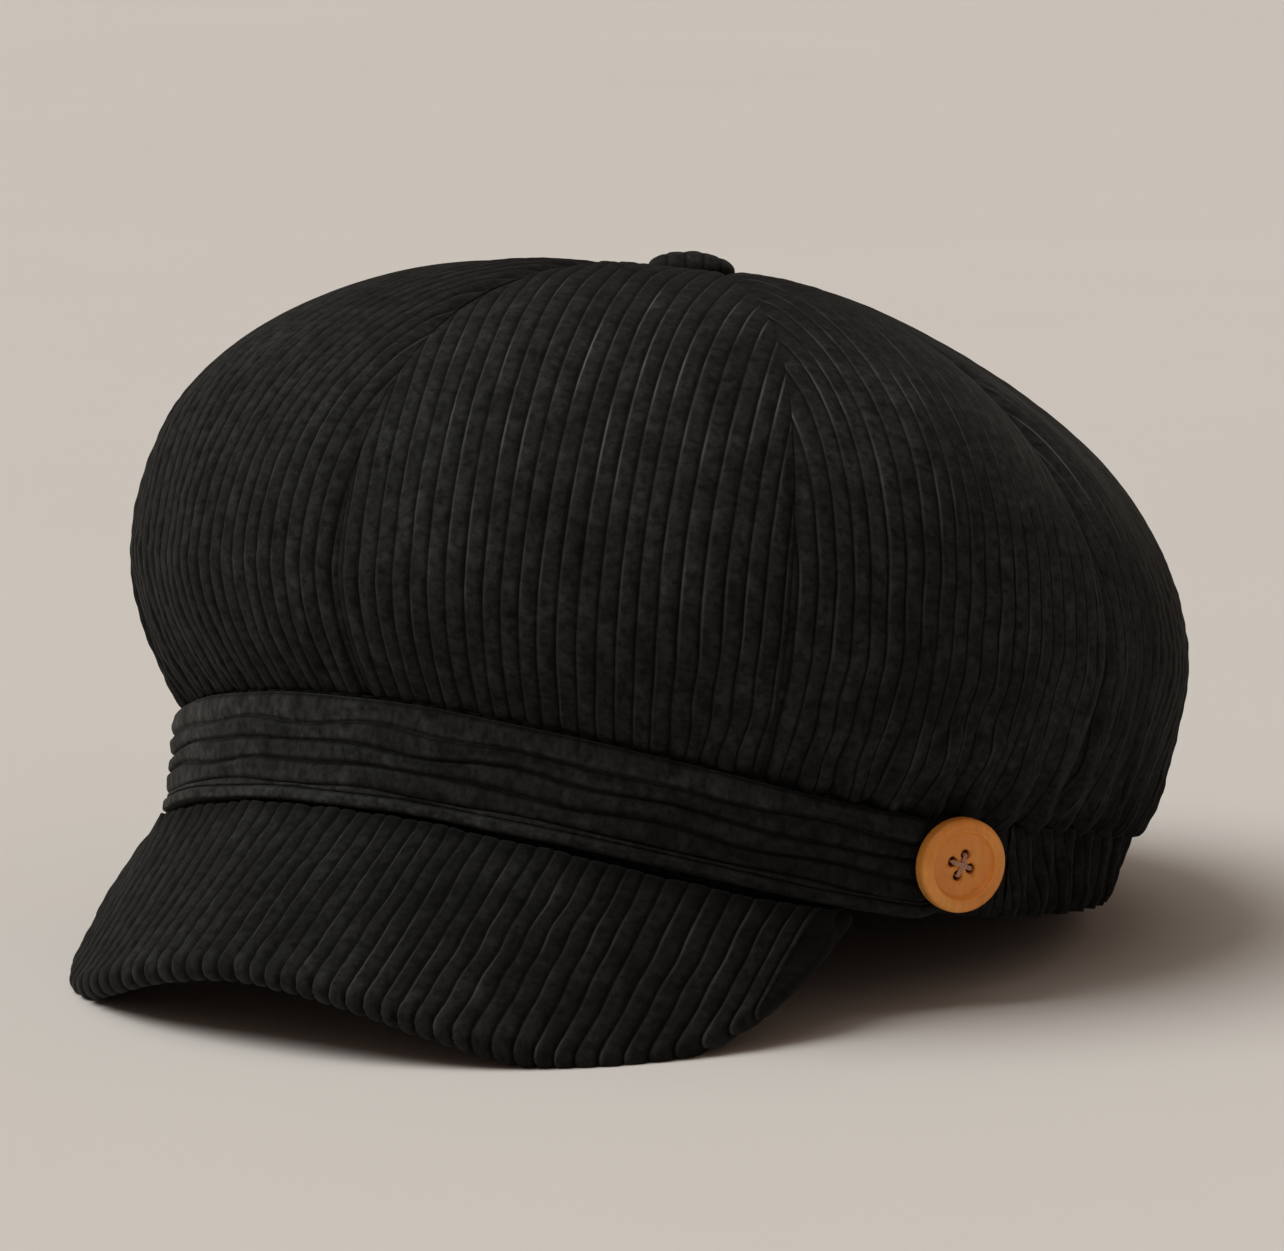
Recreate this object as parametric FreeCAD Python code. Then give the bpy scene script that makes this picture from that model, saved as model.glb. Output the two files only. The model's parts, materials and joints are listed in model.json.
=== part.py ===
"""Eight-panel newsboy cap in corduroy, as it stands on a table on its visor and the back of its band.

The cap is drawn in the band's own frame: Z is the band's axis, the front is towards -Y, the wearer's
left is +X, and z = 0 is the level of the band's lower edge at the sides. Angles round the band are
measured from the front, positive towards the wearer's left. Soft pieces are bent slabs: a place
function gives a point for two coordinates along the cloth and a third through its thickness. At the
end every piece is tilted together until the visor's corners and the back of the band touch one level,
and moved so that the origin is at the bottom centre of the whole cap. Millimetres and degrees.
"""
import FreeCAD, Part
import math
import os

Vector = FreeCAD.Vector
OUT = "parts"

# Band and head opening
BAND_RX = 87.0            # outer half width of the band, side to side
BAND_RY = 95.5            # outer half length of the band, front to back
BAND_FRONT_HEIGHT = 19.0
BAND_REAR_HEIGHT = 14.5
FRONT_ARCH = 15.0         # how far the visor lifts the band's lower edge at the front
FRONT_BAND_HALF = 84.0    # the ungathered band runs this far each side of the front
BAND_GAP_DEG = 0.3        # gap between neighbouring lengths of the band's cloth
REAR_BAND_START = 112.0   # the free gathered band runs from here round the back
LAYER_GAP = 0.2
EDGE_INSET = 1.0          # inner layers stop short of the band's edges

# Cloth and board thicknesses
CORDUROY = 1.8
INTERLINING = 0.9
SWEATBAND = 0.8
ELASTIC = 1.1
FACING = 0.8
CROWN_CLOTH = 2.0
LINING = 0.5
STRAP_CLOTH = 1.9
STRAP_BACKING = 0.7
VISOR_TOP_CLOTH = 1.6
VISOR_BOARD = 1.2
VISOR_UNDER_CLOTH = 1.0

# Crown
GORES = 8
CROWN_RX = 97.5           # half width at the widest ring, on the seams
CROWN_RY = 106.5
CROWN_HEIGHT = 117.0      # seam height at the centre, above the band's lower edge
WIDEST_HEIGHT = 47.0      # mean height of the widest ring
WIDEST_TILT = 7.0         # the ring is this much higher in front, and lower behind
CROWN_SEAM_FRONT = 0.3    # crown to band, in front, where they are sewn flat
CROWN_SEAM_REAR = 2.3     # crown to band, behind, where the band stretches away
CROWN_PUFF = 3.0          # how far a gore stands out between its seams
FLARE_FRONT = 1.3         # shape of the cloth between band and widest ring: straight in front
FLARE_REAR = 4.0          # and round, hanging over, behind
SHOULDER = 7.5            # the cloth stands fuller than an ellipse in front, and flatter behind
SEAM_CREEP = 3.5          # the side seams stand apart by this much more than an even share
DIMPLE_DEPTH = 3.6
DIMPLE_RADIUS = 14.0
TOP_HOLE = 4.0
WIDEST_SHARE = 0.2        # share of a gore's length below the widest ring
SEAM_GAP_DEG = 0.1
LINING_REACH = 0.97       # the lining stops just below the button

# Strap and its two buttons
STRAP_HALF = 76.5
STRAP_INSET = 0.4         # strap's edges inside the band's edges
BUTTON_AT = 72.0
BUTTON_RADIUS = 9.0
BUTTON_THICK = 2.6
BUTTON_RIM = 1.6          # width of the raised rim
BUTTON_RIM_HEIGHT = 0.7
BUTTON_HOLE = 0.85
BUTTON_HOLE_PITCH = 2.9   # between the centres of neighbouring holes
BUTTON_TURN = 12.0        # the strap's end turns the button towards the front
BUTTON_DROOP = 5.0
BUTTON_SHANK = 0.3        # thread between the strap and the nearest edge of the turned button
THREAD = 0.55
THREAD_SINK = 0.2         # how far the thread's ends run past the button's two faces

# Covered button on top
TOP_RADIUS = 8.4
TOP_RISE = 3.7
TOP_CLOTH = 1.1
TOP_SHELL = 0.5
TOP_BACK = 0.5
TOP_BACK_EDGE = 0.5       # the back plate is this much smaller than the shell's mouth
TOP_SHANK = 1.3
TOP_SHANK_DEPTH = 6.0
TOP_SEAT = 1.9            # the button's rim below the level of the seams' top

# Visor
VISOR_SPAN = 62.0         # the root runs this far each side of the front
VISOR_REACH = 82.5        # from the root's ends forward to the front edge
VISOR_BULGE = 2.9         # how far the edge swells sideways at the corners
VISOR_DROP = 19.5         # front centre below the root's ends
VISOR_CORNER_DROP = 46.0  # how strongly the corners curl down
VISOR_ARCH = 3.8
VISOR_END = 86.0          # the visor's parameter stops short of its pointed ends
ROOT_GAP = 0.6
ROOT_DROP = 2.4           # room between strap and visor for the visor to flex
BOARD_INSET = 0.05        # share of the visor's depth that the board stops short of the edge
STRIP_SHARE = 0.92        # the seam strip stops short of the root's pointed ends


def arch(angle):
    """Height of the band's lower edge at an angle round the band."""
    return FRONT_ARCH * max(0.0, math.cos(math.radians(angle))) ** 2


def rear_share(angle):
    """0 at the front, 1 at the back."""
    return (1.0 - math.cos(math.radians(angle))) / 2.0


def band_height(angle):
    return BAND_FRONT_HEIGHT + (BAND_REAR_HEIGHT - BAND_FRONT_HEIGHT) * rear_share(angle)


def ring(angle, offset, height):
    """Point on the band's ellipse, offset outwards."""
    turn = math.radians(angle)
    return Vector((BAND_RX + offset) * math.sin(turn), -(BAND_RY + offset) * math.cos(turn), height)


def unit_normal(place, a, b, step_a, step_b):
    """Unit normal of the sheet place(a, b), by the right-hand rule from a to b."""
    across = place(a + step_a, b) - place(a - step_a, b)
    along = place(a, b + step_b) - place(a, b - step_b)
    normal = across.cross(along)
    return normal.normalize()


def slab(place, span_a, span_b, depths, counts):
    """Closed solid between two depths of place(a, b, depth), over a span of a and a span of b."""
    def grid(depth):
        rows = []
        for i in range(counts[0]):
            a = span_a[0] + (span_a[1] - span_a[0]) * i / (counts[0] - 1)
            row = []
            for j in range(counts[1]):
                b = span_b[0] + (span_b[1] - span_b[0]) * j / (counts[1] - 1)
                row.append(place(a, b, depth))
            rows.append(row)
        return rows

    sides = []
    for depth in depths:
        surface = Part.BSplineSurface()
        surface.interpolate(grid(depth))
        sides.append(surface)
    faces = [surface.toShape() for surface in sides]
    first_u, last_u, first_v, last_v = sides[0].bounds()
    for u in (first_u, last_u):
        edges = [surface.uIso(u).toShape() for surface in sides]
        faces.append(Part.makeRuledSurface(edges[0], edges[1]))
    for v in (first_v, last_v):
        edges = [surface.vIso(v).toShape() for surface in sides]
        faces.append(Part.makeRuledSurface(edges[0], edges[1]))
    sewn = Part.Compound(faces)
    sewn.sewShape()
    solid = Part.Solid(sewn.Shells[0])
    if solid.Volume < 0:
        solid.reverse()
    return solid


def band_layer(start, end, offset, thickness, inset):
    """Strip of the band between two angles; its outer face is offset from the band's ellipse."""
    def place(angle, share, depth):
        low = arch(angle) + inset
        high = arch(angle) + band_height(angle) - inset
        return ring(angle, offset - depth, low + (high - low) * share)

    columns = max(7, int(abs(end - start) / 8.0))
    return slab(place, (start, end), (0.0, 1.0), (0.0, thickness), (columns, 4))


def crown_sheet(angle, share):
    """Point on the crown's seam surface; share runs from the band (0) to the centre (1)."""
    turn = math.radians(angle)
    rear = rear_share(angle)
    seam = CROWN_SEAM_FRONT + (CROWN_SEAM_REAR - CROWN_SEAM_FRONT) * rear
    base_height = arch(angle) + band_height(angle) + seam
    widest = WIDEST_HEIGHT + WIDEST_TILT * math.cos(turn)
    flare = FLARE_FRONT + (FLARE_REAR - FLARE_FRONT) * rear
    if share < WIDEST_SHARE:
        drop = 1.0 - share / WIDEST_SHARE
        blend = abs(drop) ** flare
        rx = CROWN_RX - (CROWN_RX - BAND_RX) * blend
        ry = CROWN_RY - (CROWN_RY - BAND_RY) * blend
        height = widest - (widest - base_height) * drop
    else:
        last = math.acos(TOP_HOLE / CROWN_RX)
        rise = last * (share - WIDEST_SHARE) / (1.0 - WIDEST_SHARE)
        rx = CROWN_RX * math.cos(rise)
        ry = CROWN_RX * math.cos(rise) + (CROWN_RY - CROWN_RX) * math.cos(rise) ** 2
        dimple = DIMPLE_DEPTH * math.exp(-((rx / DIMPLE_RADIUS) ** 2))
        height = widest + (CROWN_HEIGHT - widest) * math.sin(rise) - dimple
        shoulder = SHOULDER * math.tanh(2.0 * math.cos(turn)) * math.sin(2.0 * rise) ** 2
        rx += shoulder * math.cos(rise)
        ry += shoulder * math.cos(rise)
        height += shoulder * math.sin(rise)
    return Vector(rx * math.sin(turn), -ry * math.cos(turn), height)


def seam_angle(index):
    """Angle of a crown seam; seam 0 is at the front."""
    even = 360.0 * index / GORES
    return even + SEAM_CREEP * math.sin(math.radians(2.0 * even))


def crown_place(start, end):
    """Place function of the gore between two seams."""
    def place(angle, share, depth):
        normal = unit_normal(crown_sheet, angle, share, 0.2, 0.002)
        across = (2.0 * angle - start - end) / (end - start)
        puff = CROWN_PUFF * (1.0 - across ** 2) * math.sin(math.pi * min(1.0, max(0.0, share)))
        return crown_sheet(angle, share) + normal * (puff - depth)

    return place


def gore_layer(index, depth, thickness, reach):
    """One gore of the crown or of its lining."""
    start, end = seam_angle(index), seam_angle(index + 1)
    span = (start + SEAM_GAP_DEG, end - SEAM_GAP_DEG)
    return slab(crown_place(start, end), span, (0.0, reach), (depth, depth + thickness), (9, 21))


def strap_layer(depth, thickness, inset):
    """Layer of the front strap, which lies on the front band."""
    def place(angle, share, through):
        low = arch(angle) + inset
        high = arch(angle) + band_height(angle) - inset
        return ring(angle, LAYER_GAP + depth + through, low + (high - low) * share)

    return slab(place, (-STRAP_HALF, STRAP_HALF), (0.0, 1.0), (0.0, thickness), (25, 4))


def visor_thickness():
    return VISOR_TOP_CLOTH + VISOR_BOARD + VISOR_UNDER_CLOTH + 2.0 * LAYER_GAP


def visor_edge(angle):
    """Point on the underside of the visor's free edge; angle is the visor's own, -90 to 90."""
    turn = math.radians(angle)
    span = math.radians(VISOR_SPAN)
    x = BAND_RX * math.sin(span) * math.sin(turn) + VISOR_BULGE * math.sin(2.0 * turn)
    y = -BAND_RY * math.cos(span) - VISOR_REACH * math.cos(turn)
    curl = VISOR_CORNER_DROP * math.sin(turn) ** 2 * math.cos(turn)
    return Vector(x, y, VISOR_ARCH - VISOR_DROP * math.cos(turn) - curl)


def visor_sheet(angle, share):
    """Point on the visor's underside; share runs from the root (0) to the free edge (1)."""
    around = angle * VISOR_SPAN / 90.0
    root = ring(around, ROOT_GAP, arch(around) - ROOT_DROP - visor_thickness())
    return root + (visor_edge(angle) - root) * share


def visor_layer(height, thickness, reach):
    """Layer of the visor at a height above its underside."""
    def place(angle, share, through):
        upward = unit_normal(visor_sheet, angle, share, 0.2, 0.01) * -1.0
        return visor_sheet(angle, share) + upward * (height + through)

    return slab(place, (-VISOR_END, VISOR_END), (0.0, reach), (0.0, thickness), (29, 5))


def seam_strip():
    """Cloth strip under the band's edge and behind the visor's root, which joins the two."""
    def place(angle, share, through):
        low = arch(angle) - ROOT_DROP - visor_thickness()
        high = arch(angle) - LAYER_GAP
        return ring(angle, through, low + (high - low) * share)

    span = VISOR_SPAN * STRIP_SHARE
    return slab(place, (-span, span), (0.0, 1.0), (-CORDUROY, -LAYER_GAP), (21, 3))


def turned(points):
    """Solid turned about Z from a closed outline of (radius, height) points."""
    corners = [Vector(radius, 0.0, height) for radius, height in points]
    outline = Part.makePolygon(corners + corners[:1])
    return Part.Face(outline).revolve(Vector(0, 0, 0), Vector(0, 0, 1), 360.0)


def dome(radius, rise, thickness):
    """Half-egg shell, open below, standing on z = 0."""
    steps = 10
    outer = []
    inner = []
    for i in range(steps + 1):
        turn = math.radians(90.0 * i / steps)
        outer.append((radius * math.cos(turn), rise * math.sin(turn)))
        inner.append(((radius - thickness) * math.cos(turn), (rise - thickness) * math.sin(turn)))
    return turned(outer + inner[::-1])


def hole_places():
    half = BUTTON_HOLE_PITCH / 2.0
    return [(half, half), (-half, half), (-half, -half), (half, -half)]


def button_disc():
    """Four-hole button with a raised rim and a dished middle, face up, back on z = 0."""
    inside = BUTTON_RADIUS - BUTTON_RIM
    lip = 0.6
    face = BUTTON_THICK
    top = BUTTON_THICK + BUTTON_RIM_HEIGHT
    disc = turned([
        (0.0, 0.0), (BUTTON_RADIUS - lip, 0.0), (BUTTON_RADIUS, lip), (BUTTON_RADIUS, top - lip),
        (BUTTON_RADIUS - lip, top), (inside + lip, top), (inside, face), (0.0, face - lip),
    ])
    for x, y in hole_places():
        disc = disc.cut(Part.makeCylinder(BUTTON_HOLE, 2.0 * top, Vector(x, y, -top / 2.0)))
    return disc


def button_thread():
    """Thread down through the four holes and crossed over the face."""
    face = BUTTON_THICK
    half = BUTTON_HOLE_PITCH / 2.0
    length = 2.0 * math.hypot(half, half)
    thread = None
    for x, y in hole_places():
        leg = Part.makeCylinder(THREAD, face + THREAD, Vector(x, y, -THREAD_SINK))
        thread = leg if thread is None else thread.fuse(leg)
    for turn in (45.0, -45.0):
        start = Vector(-length / 2.0, 0.0, face - THREAD_SINK + THREAD)
        bar = Part.makeCylinder(THREAD, length, start, Vector(1, 0, 0))
        bar.rotate(Vector(0, 0, 0), Vector(0, 0, 1), turn)
        thread = thread.fuse(bar)
    return thread.removeSplitter()


def button_placement(side):
    """Placement of a strap button; side is 1 for the wearer's left, -1 for the right."""
    angle = BUTTON_AT
    strap_face = LAYER_GAP * 2.0 + STRAP_BACKING + STRAP_CLOTH
    height = arch(angle) + band_height(angle) / 2.0
    standoff = BUTTON_SHANK + BUTTON_RADIUS * math.sin(math.radians(BUTTON_TURN))
    spot = ring(angle, strap_face + standoff, height)
    slope = math.atan2(math.sin(math.radians(angle)) / BAND_RX, math.cos(math.radians(angle)) / BAND_RY)
    facing = slope - math.radians(BUTTON_TURN)
    droop = math.radians(BUTTON_DROOP)
    normal = Vector(
        side * math.sin(facing) * math.cos(droop),
        -math.cos(facing) * math.cos(droop),
        -math.sin(droop),
    )
    level = Vector(0, 0, 1).cross(normal).normalize()
    return FreeCAD.Placement(
        Vector(side * spot.x, spot.y, spot.z),
        FreeCAD.Rotation(level, normal.cross(level), normal, "ZXY"),
    )


def build_crown(pieces):
    for index in range(GORES):
        pieces["crown_gore_%d" % (index + 1)] = gore_layer(index, 0.0, CROWN_CLOTH, 1.0)
        pieces["lining_gore_%d" % (index + 1)] = gore_layer(
            index, CROWN_CLOTH + LAYER_GAP, LINING, LINING_REACH
        )


def build_top_button(pieces):
    made = {
        "top_button_cover": dome(TOP_RADIUS, TOP_RISE, TOP_CLOTH),
        "top_button_shell": dome(
            TOP_RADIUS - TOP_CLOTH - LAYER_GAP, TOP_RISE - TOP_CLOTH - LAYER_GAP, TOP_SHELL
        ),
        "top_button_back": Part.makeCylinder(
            TOP_RADIUS - TOP_CLOTH - TOP_SHELL - LAYER_GAP - TOP_BACK_EDGE, TOP_BACK
        ),
        "top_button_shank": Part.makeCylinder(TOP_SHANK, TOP_SHANK_DEPTH, Vector(0, 0, -TOP_SHANK_DEPTH)),
    }
    for name, shape in made.items():
        shape.translate(Vector(0, 0, CROWN_HEIGHT - TOP_SEAT))
        pieces[name] = shape


def build_front_band(pieces):
    half = FRONT_BAND_HALF
    offset = 0.0
    pieces["front_band_cover"] = band_layer(-half, half, offset, CORDUROY, 0.0)
    offset -= CORDUROY + LAYER_GAP
    pieces["front_band_interlining"] = band_layer(-half, half, offset, INTERLINING, EDGE_INSET)
    offset -= INTERLINING + LAYER_GAP
    pieces["front_sweatband"] = band_layer(-half, half, offset, SWEATBAND, EDGE_INSET / 2.0)


def build_rear_band(pieces):
    """Gathered back of the band: its free middle, the elastic, and the gathers that stretch."""
    start = REAR_BAND_START
    end = 360.0 - REAR_BAND_START
    inner = -(CORDUROY + 2.0 * LAYER_GAP + ELASTIC)
    pieces["rear_band_cover"] = band_layer(start, end, 0.0, CORDUROY, 0.0)
    pieces["rear_band_facing"] = band_layer(start, end, inner, FACING, EDGE_INSET / 2.0)
    front = FRONT_BAND_HALF + BAND_GAP_DEG
    elastic = -(CORDUROY + LAYER_GAP)
    pieces["rear_elastic"] = band_layer(front, 360.0 - front, elastic, ELASTIC, EDGE_INSET)
    for name, side in (("left", 1.0), ("right", -1.0)):
        ends = sorted((side * front, side * (start - BAND_GAP_DEG)))
        pieces["side_gather_%s" % name] = band_layer(ends[0], ends[1], 0.0, CORDUROY, 0.0)
        pieces["side_facing_%s" % name] = band_layer(ends[0], ends[1], inner, FACING, EDGE_INSET / 2.0)


def build_strap(pieces):
    pieces["strap_backing"] = strap_layer(0.0, STRAP_BACKING, STRAP_INSET + EDGE_INSET)
    pieces["strap_face"] = strap_layer(STRAP_BACKING + LAYER_GAP, STRAP_CLOTH, STRAP_INSET)
    for name, side in (("left", 1.0), ("right", -1.0)):
        for kind, shape in (("button", button_disc()), ("button_thread", button_thread())):
            shape.Placement = button_placement(side)
            pieces["%s_%s" % (name, kind)] = shape


def build_visor(pieces):
    level = 0.0
    pieces["visor_under_cover"] = visor_layer(level, VISOR_UNDER_CLOTH, 1.0)
    level += VISOR_UNDER_CLOTH + LAYER_GAP
    pieces["visor_board"] = visor_layer(level, VISOR_BOARD, 1.0 - BOARD_INSET)
    level += VISOR_BOARD + LAYER_GAP
    pieces["visor_top_cover"] = visor_layer(level, VISOR_TOP_CLOTH, 1.0)
    pieces["visor_seam_strip"] = seam_strip()


def resting_tilt():
    """Tilt at which the visor's corners and the back of the band are at one level."""
    edge = [visor_edge(angle) for angle in range(0, 90, 2)]
    low, high = 0.0, 30.0
    for _ in range(40):
        middle = (low + high) / 2.0
        sine = math.sin(math.radians(middle))
        cosine = math.cos(math.radians(middle))
        corner = min(point.z * cosine - point.y * sine for point in edge)
        if corner < -BAND_RY * sine:
            low = middle
        else:
            high = middle
    return (low + high) / 2.0


def bounds(shapes):
    boxes = [shape.optimalBoundingBox(False, False) for shape in shapes]
    low = Vector(min(b.XMin for b in boxes), min(b.YMin for b in boxes), min(b.ZMin for b in boxes))
    high = Vector(max(b.XMax for b in boxes), max(b.YMax for b in boxes), max(b.ZMax for b in boxes))
    return low, high


def stand(pieces):
    """Tilt every piece to rest on the table, put the origin at the bottom centre, and return the move."""
    tilt = resting_tilt()
    for shape in pieces.values():
        shape.rotate(Vector(0, 0, 0), Vector(1, 0, 0), -tilt)
    low, high = bounds(pieces.values())
    move = Vector(-(low.x + high.x) / 2.0, -(low.y + high.y) / 2.0, -low.z)
    for shape in pieces.values():
        shape.translate(move)
    return tilt, move, low, high


def main():
    os.makedirs(OUT, exist_ok=True)
    pieces = {}
    build_crown(pieces)
    build_top_button(pieces)
    build_front_band(pieces)
    build_rear_band(pieces)
    build_strap(pieces)
    build_visor(pieces)
    tilt, move, low, high = stand(pieces)
    for name, shape in pieces.items():
        if not shape.isValid() or shape.Volume <= 0:
            raise ValueError("%s is not a sound solid" % name)
        shape.exportStep("%s/%s.step" % (OUT, name))
    size = high - low
    print("pieces %d" % len(pieces))
    print("size %.1f x %.1f x %.1f mm, tilt %.2f" % (size.x, size.y, size.z, tilt))
    print("band frame moved by %.3f %.3f %.3f" % (move.x, move.y, move.z))
    return pieces


if __name__ == "__main__":
    main()
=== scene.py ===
"""Newsboy cap in black wide-wale corduroy: its cloth, buttons, light and camera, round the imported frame.

Cloth is drawn in the band's own frame, in millimetres: z is the band's axis, -y the front, +x the
wearer's left, and angles are degrees round the band from the front. to_row() moves points from there
to the frame's metres. A cloth piece is a grid of points pushed out along its normals: first the fold
and puff of the cloth, then the round wales of the corduroy, which follow the cut of each piece.
"""
import json
import math

import bmesh
import bpy
import numpy as np
from mathutils import Matrix, Vector


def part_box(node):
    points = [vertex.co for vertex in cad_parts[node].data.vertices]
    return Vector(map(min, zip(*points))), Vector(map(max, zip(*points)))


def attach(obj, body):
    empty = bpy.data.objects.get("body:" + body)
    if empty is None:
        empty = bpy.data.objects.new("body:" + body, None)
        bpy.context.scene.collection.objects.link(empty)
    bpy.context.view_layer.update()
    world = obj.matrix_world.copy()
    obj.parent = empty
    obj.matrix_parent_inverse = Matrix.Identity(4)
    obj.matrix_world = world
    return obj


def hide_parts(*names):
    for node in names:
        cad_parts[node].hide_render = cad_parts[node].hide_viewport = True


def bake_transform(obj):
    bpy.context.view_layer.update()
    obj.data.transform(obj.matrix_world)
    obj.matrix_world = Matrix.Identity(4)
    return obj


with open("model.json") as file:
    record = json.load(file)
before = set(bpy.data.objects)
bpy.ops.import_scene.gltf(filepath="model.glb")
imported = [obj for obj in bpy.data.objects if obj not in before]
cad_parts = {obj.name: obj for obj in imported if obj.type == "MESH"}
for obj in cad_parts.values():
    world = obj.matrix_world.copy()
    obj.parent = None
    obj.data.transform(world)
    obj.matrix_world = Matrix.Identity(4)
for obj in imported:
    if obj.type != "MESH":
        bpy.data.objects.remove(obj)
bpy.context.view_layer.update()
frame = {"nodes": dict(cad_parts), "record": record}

MM = 0.001
FLOOR_GAP = 0.0001         # metres between the floor and the cloth that lies flat on it

# Band, as in the CAD model
FRONT_HEIGHT = 19.0
REAR_HEIGHT = 14.5
FRONT_ARCH = 15.0
FRONT_BAND_HALF = 84.0     # degrees; the gathered back takes the rest
BAND_HEM = 1.6
FRONT_TAPE = (-83.8, 83.8)
REAR_TAPE = (84.4, 275.6)

# Crown
GORES = 8
CROWN_RX = 98.7
CROWN_RY = 107.7
CROWN_HEIGHT = 115.8
WIDEST_HEIGHT = 48.0
WIDEST_TILT = 9.0
WIDEST_SHARE = 0.2
SHOULDER_FRONT = 7.9
SHOULDER_REAR = 5.6
FRONT_BULGE = 1.7          # the cloth's extra slack over the front quarters
SEAM_CREEP = 3.5
DIMPLE_DEPTH = 3.6
DIMPLE_RADIUS = 13.0
TOP_HOLE = 4.0
REAR_FLARE = 4.0           # lean of the gathered band's upper edge away from the head
PUFF_FRONT = 0.85
PUFF_REAR = 3.4
SEAM_DEPTH = 0.45
SEAM_REACH = 1.6           # half width of the valley along a seam
GORE_HEM = 2.6             # how far a gore's edges turn in
LINING_GAP = 1.4           # between crown cloth and lining at the band, and what it grows by
LINING_SAG = 2.8

# Corduroy
PITCH = 3.6
WALE = 0.60                # height of a wale on the crown

# Strap and buttons
STRAP_HALF = 74.5          # half of the strap's length round the band, in degrees
STRAP_TUCK = 0.16          # share of the height by which the lower edge rises at each end
STRAP_STAND = 1.0          # how far it stands off the band over the front quarters
BUTTON_RADIUS = 8.8
HOLE_RADIUS = 1.02
HOLE_PITCH = 2.9
HOLES = ((1, 1), (-1, 1), (-1, -1), (1, -1))
BUTTON_FACE = 2.05         # height of the dish under the thread
BUTTON_TURN = {"left": 22.0, "right": -31.0}
BUTTON_SHIFT = {"left": (0.0012, 0.0008, 0.0), "right": (-0.0012, 0.0008, 0.0)}   # metres
TOP_BUTTON_LIFT = 0.8

# Visor
VISOR_SPAN = 63.2          # half of its root round the band, in degrees
VISOR_REACH = 82.0         # from the line through its corners to its front edge
VISOR_BULGE = -0.4
VISOR_DROP = 21.0
VISOR_CORNER_DROP = 46.0
VISOR_ARCH = 3.8
VISOR_END = 86.5           # its own angle stops short of its pointed ends
VISOR_THICK = 4.2
VISOR_HEM = 1.4            # how far the cloth turns in at the root
VISOR_PITCH = 3.5
VISOR_PULL = 0.22          # how much wider the wales sit on one side
VISOR_PULL_REACH = 40.0
BOARD_HALF = 0.6           # half the thickness of the stiff board
ROOT_GAP = 0.5
ROOT_DROP = 1.0            # between the band's edge and the visor's top

# Camera and light
CAMERA_AZIMUTH = 34.4
CAMERA_ELEVATION = 9.1
CAMERA_DISTANCE = 1.242
CAMERA_TARGET = (-0.0007, 0.0089, 0.0602)
LENS = 179.6
FLOOR_HALF = 6.0           # metres


# ---------------------------------------------------------------- frame

def band_frame():
    """Origin and axes of the band, from the head opening that the record states."""
    mounts = frame["record"]["mounts"]
    opening = next(mount for mount in mounts if mount["name"] == "head_opening")
    up = -np.array(opening["axis"])
    return np.array(opening["pos_m"]), np.array(((1.0, 0.0, 0.0), (0.0, up[2], -up[1]), up))


ORIGIN, AXES = band_frame()


def to_row(points):
    """Band-frame millimetres to row-frame metres."""
    return ORIGIN + np.asarray(points) @ AXES * MM


def to_band(points):
    """Row-frame metres to band-frame millimetres."""
    return (np.asarray(points) - ORIGIN) @ AXES.T / MM


def node_points(node):
    """A CAD node's points in the row's frame."""
    mesh = frame["nodes"][node].data
    points = np.empty(len(mesh.vertices) * 3)
    mesh.vertices.foreach_get("co", points)
    return points.reshape(-1, 3)


BAND_RX = to_band(node_points("side_gather_left"))[:, 0].max()
BAND_RY = to_band(node_points("rear_band_cover"))[:, 1].max()


# ---------------------------------------------------------------- shapes and noise

def smooth(value):
    """Eased step from 0 to 1."""
    value = np.clip(value, 0.0, 1.0)
    return value * value * (3.0 - 2.0 * value)


def ripple(seed, u, v, size_u, size_v, waves=8):
    """Smooth seeded noise in about -1..1; sizes are the lengths of its waves along u and v."""
    draw = np.random.default_rng(seed)
    total = 0.0
    for _ in range(waves):
        turn = draw.uniform(0.0, 2.0 * math.pi)
        pace = draw.uniform(0.6, 1.5)
        phase = draw.uniform(0.0, 2.0 * math.pi)
        along = u * math.cos(turn) / size_u + v * math.sin(turn) / size_v
        total = total + np.sin(2.0 * math.pi * pace * along + phase)
    return total / math.sqrt(waves * 2.0)


def wale_profile(phase):
    """Height across the wales, 0 in a groove and 1 on a crest; phase counts wales."""
    across = np.abs(2.0 * (phase - np.floor(phase)) - 1.0)
    return np.maximum(0.0, 1.0 - across ** 4.0) ** 0.8


def beads(seed, phase, length):
    """Small uneven swelling along each wale, different on every wale."""
    number = np.floor(phase)
    start = np.sin(number * 12.9898 + seed) * 43758.5453
    start = 2.0 * math.pi * (start - np.floor(start))
    slow = np.sin(2.0 * math.pi * length / 11.0 + start)
    quick = np.sin(2.0 * math.pi * length / 4.6 + 2.3 * start)
    return 0.5 * slow + 0.5 * quick


def signed(angle):
    """The same angle between -180 and 180."""
    return (angle + 180.0) % 360.0 - 180.0


def band_run(angle):
    """Length round the band from the front."""
    return np.radians(angle) * (BAND_RX + BAND_RY) / 2.0


def arch(angle):
    """Height of the band's lower edge, which the visor lifts at the front."""
    return FRONT_ARCH * np.maximum(0.0, np.cos(np.radians(angle))) ** 2


def rear_share(angle):
    """0 at the front, 1 at the back."""
    return (1.0 - np.cos(np.radians(angle))) / 2.0


def band_height(angle):
    return FRONT_HEIGHT + (REAR_HEIGHT - FRONT_HEIGHT) * rear_share(angle)


def ring(angle, offset, height):
    """Points round the band, a distance outside it."""
    turn = np.radians(angle)
    x = (BAND_RX + offset) * np.sin(turn)
    y = -(BAND_RY + offset) * np.cos(turn)
    return np.stack(np.broadcast_arrays(x, y, height), axis=-1)


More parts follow.
